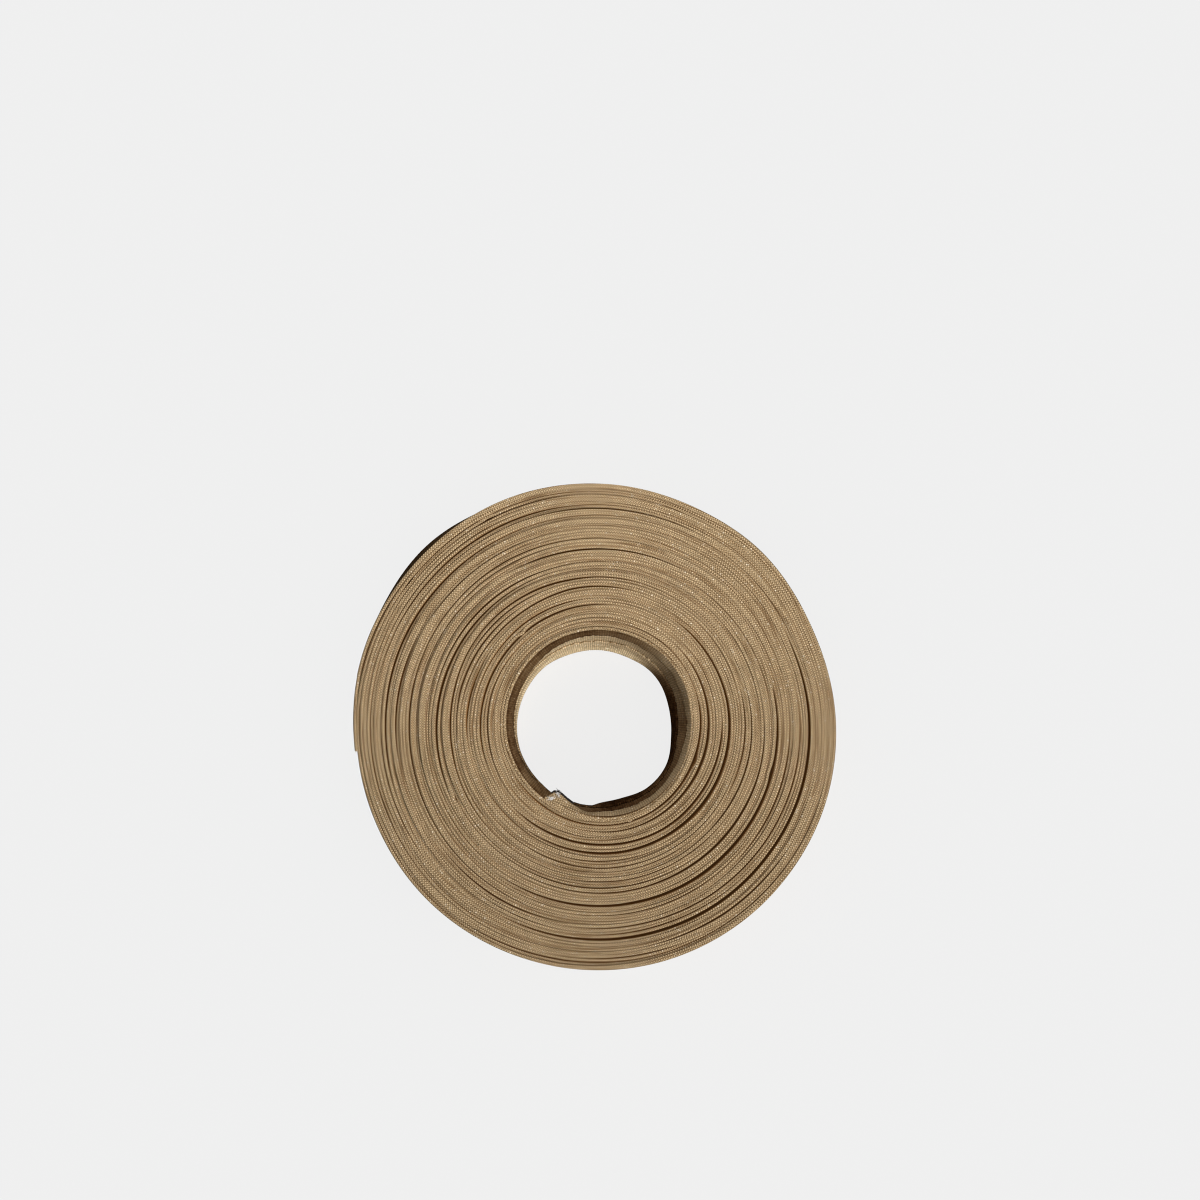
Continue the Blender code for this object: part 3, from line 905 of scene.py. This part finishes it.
def fibreTuft(name, facts):
    # a tuft of loose fibres, each a thin tube that bends as it goes
    draw = np.random.default_rng(facts["seed"])
    count, rings, sides = facts["count"], fibre["rings"], fibre["sides"]
    root = np.array(facts["at"])[None, :] + draw.normal(0.0, 1.0, (count, 3)) * facts["spread"]
    heading = np.array(facts["towards"])[None, :] + draw.normal(0.0, facts["unruly"], (count, 3))
    heading /= np.linalg.norm(heading, axis=1, keepdims=True)
    bend = draw.normal(0.0, facts["unruly"], (count, 3))
    length = facts["length"] * draw.uniform(fibre["shortest"], 1.0, count)
    along = np.linspace(0.0, 1.0, rings)[None, :, None]
    line = root[:, None] + length[:, None, None] * (heading[:, None] * along + bend[:, None] * along ** 2)
    side = np.cross(heading, draw.normal(0.0, 1.0, (count, 3)))
    side /= np.linalg.norm(side, axis=1, keepdims=True)
    other = np.cross(heading, side)
    thick = facts["thickness"] / 2.0 * (1.0 - fibre["taper"] * along)
    swings = 2 * pi * np.arange(sides) / sides
    points = np.stack([line + thick * (side[:, None] * np.cos(swing) + other[:, None] * np.sin(swing))
                       for swing in swings], axis=2)
    first = (np.arange(count)[:, None] * rings + np.arange(rings - 1)[None, :])[..., None] * sides
    here = np.arange(sides)[None, None, :]
    after = (here + 1) % sides
    faces = np.stack([first + here, first + here + sides, first + after + sides, first + after], axis=-1)
    mesh = bpy.data.meshes.new(name)
    mesh.from_pydata((points.reshape(-1, 3) * 0.001).tolist(), [], faces.reshape(-1, 4).tolist())
    mesh.shade_smooth()
    return mesh


paleFibre = plainMaterial("pale_fibre", fibre["colour"], fibre["roughness"])
for name, facts in tufts.items():
    addPiece(name, fibreTuft(name, facts), paleFibre)
print("frayed tufts made")


# Lengths in the studio are metres.
studio = {
    "floor": {"grey": 0.30, "drop": 0.00002},
    "boreFloorShade": {"grey": 0.293, "within": 0.014, "fadesBy": 0.018},    # painted shade on the floor seen through the bore
    "underlay": {"grey": 0.04, "drop": 0.0002},
    "floorReach": 3.0,
    "floorRoughness": 0.9,
    "world": 0.13,
    "floorLight": {"power": 8.35, "azimuth": 0.0, "elevation": 90.0, "distance": 1.0},
    "overhead": {"power": 0.136, "size": 0.12, "azimuth": 82.0, "elevation": 62.0, "distance": 0.14},
    "key": {"power": 6.3, "size": 0.16, "azimuth": -50.0, "elevation": 44.0, "distance": 0.9},
}


def addLight(name, kind, facts, receivers):
    # shines on the roll's axis from its azimuth, elevation and distance, and only on its receivers
    lamp = bpy.data.lights.new(name, kind)
    lamp.energy = facts["power"]
    if kind == "AREA":
        lamp.shape = "DISK"
        lamp.size = facts["size"]
    light = bpy.data.objects.new(name, lamp)
    rise, swing = radians(facts["elevation"]), radians(facts["azimuth"])
    towards = Vector((np.cos(swing) * np.cos(rise), np.sin(swing) * np.cos(rise), np.sin(rise)))
    light.location = towards * facts["distance"]
    light.rotation_euler = (-towards).to_track_quat("-Z", "Y").to_euler()
    bpy.context.scene.collection.objects.link(light)
    group = bpy.data.collections.new(name + "_receivers")
    for receiver in receivers:
        group.objects.link(receiver)
    light.light_linking.receiver_collection = group


def greyColour(facts):
    return (facts["grey"], facts["grey"], facts["grey"], 1.0)


def addFloor(name, facts):
    mesh = bpy.data.meshes.new(name)
    reach = studio["floorReach"]
    mesh.from_pydata([(-reach, -reach, 0.0), (reach, -reach, 0.0), (reach, reach, 0.0),
                      (-reach, reach, 0.0)], [], [(0, 1, 2, 3)])
    mesh.materials.append(plainMaterial(name, greyColour(facts), studio["floorRoughness"]))
    sheet = bpy.data.objects.new(name, mesh)
    sheet.location.z = -facts["drop"]
    bpy.context.scene.collection.objects.link(sheet)
    return sheet


# The pale floor is lit by a light of its own, so that it stays even, and throws no light back up into
# the bore. A dark underlay just below it takes its place there.
floor = addFloor("pale_floor", studio["floor"])
tree = floor.data.materials[0].node_tree
fromAxis = addNode(tree, "ShaderNodeVectorMath", {"operation": "LENGTH"},
                   {0: addNode(tree, "ShaderNodeTexCoord", {}, {}, "Object")}, "Value")
# the floor within the bore is painted a little darker, as shade
inBore = smoothly(fromAxis, studio["boreFloorShade"]["fadesBy"], studio["boreFloorShade"]["within"])
grey = blendColours(inBore, greyColour(studio["floor"]), greyColour(studio["boreFloorShade"]))
tree.links.new(grey.socket, tree.nodes["Principled BSDF"].inputs["Base Color"])
floor.visible_diffuse = False
floor.visible_glossy = False
underlay = addFloor("dark_underlay", studio["underlay"])
underlay.visible_camera = False
rollPieces = [piece for piece in bpy.context.scene.objects if "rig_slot" in piece]
addLight("key", "AREA", studio["key"], rollPieces)
addLight("overhead", "AREA", studio["overhead"], rollPieces)
addLight("floor_light", "SUN", studio["floorLight"], [floor])

world = bpy.data.worlds.new("studio")
bpy.context.scene.world = world
world.use_nodes = True
world.node_tree.nodes["Background"].inputs["Color"].default_value = (1.0, 1.0, 1.0, 1.0)
world.node_tree.nodes["Background"].inputs["Strength"].default_value = studio["world"]

view = {"right": 1.10, "up": 21.79, "height": 912.0, "frameWidth": 206.4}   # at the front face
lens = bpy.data.cameras.new("camera")
lens.sensor_width = 36.0
lens.lens = lens.sensor_width * (view["height"] - winding["tapeWidth"]) / view["frameWidth"]
lens.clip_start = 0.01
camera = bpy.data.objects.new("camera", lens)
camera.location = Vector((view["right"], view["up"], view["height"])) * 0.001
bpy.context.scene.collection.objects.link(camera)
bpy.context.scene.camera = camera
bpy.context.scene.view_settings.view_transform = "Standard"
bpy.context.scene.cycles.filter_width = 1.1
print("studio set up")
